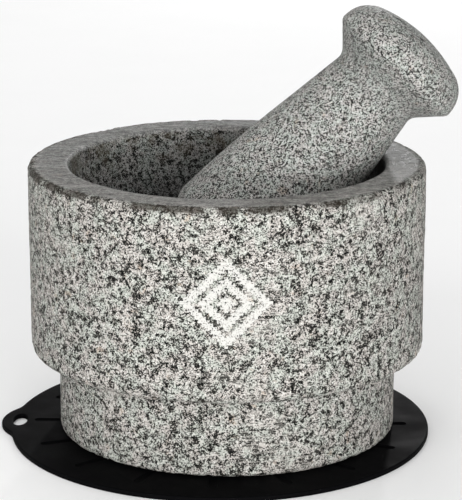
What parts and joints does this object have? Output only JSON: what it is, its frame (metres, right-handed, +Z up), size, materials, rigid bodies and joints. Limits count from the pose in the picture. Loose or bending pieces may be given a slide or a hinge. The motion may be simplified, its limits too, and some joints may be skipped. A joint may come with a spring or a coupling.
{
  "type": "mortar and pestle",
  "caption": "Turned granite mortar with a deep bowl on top and a shallow bowl in its stepped foot, a club-shaped granite pestle leaning in it, on a round black silicone mat with a hanging tab.",
  "frame": {"origin": "where the mortar's axis meets the underside of the mat, on the surface that the object stands on", "axes": "+Z up along the mortar's axis, +X the side that the pestle's head leans over, -X the mat's hanging tab, -Y the front"},
  "size_m": [0.1805, 0.166, 0.1679],
  "materials": {
    "silicone": "matte",
    "granite": "matte",
    "honed_granite": "satin"
  },
  "bodies": {
    "mat": {"mat": "silicone"},
    "mortar": {"mortar": "granite"},
    "pestle": {"pestle": "honed_granite"}
  },
  "joints": [
    {"name": "mortar_lift", "type": "slide", "parent": "mat", "child": "mortar", "axis": [0, 0, 1], "range_m": [0, 0.12]},
    {"name": "pestle_lift", "type": "slide", "parent": "mortar", "child": "pestle", "axis": [0, 0, 1], "range_m": [0, 0.1]}
  ]
}
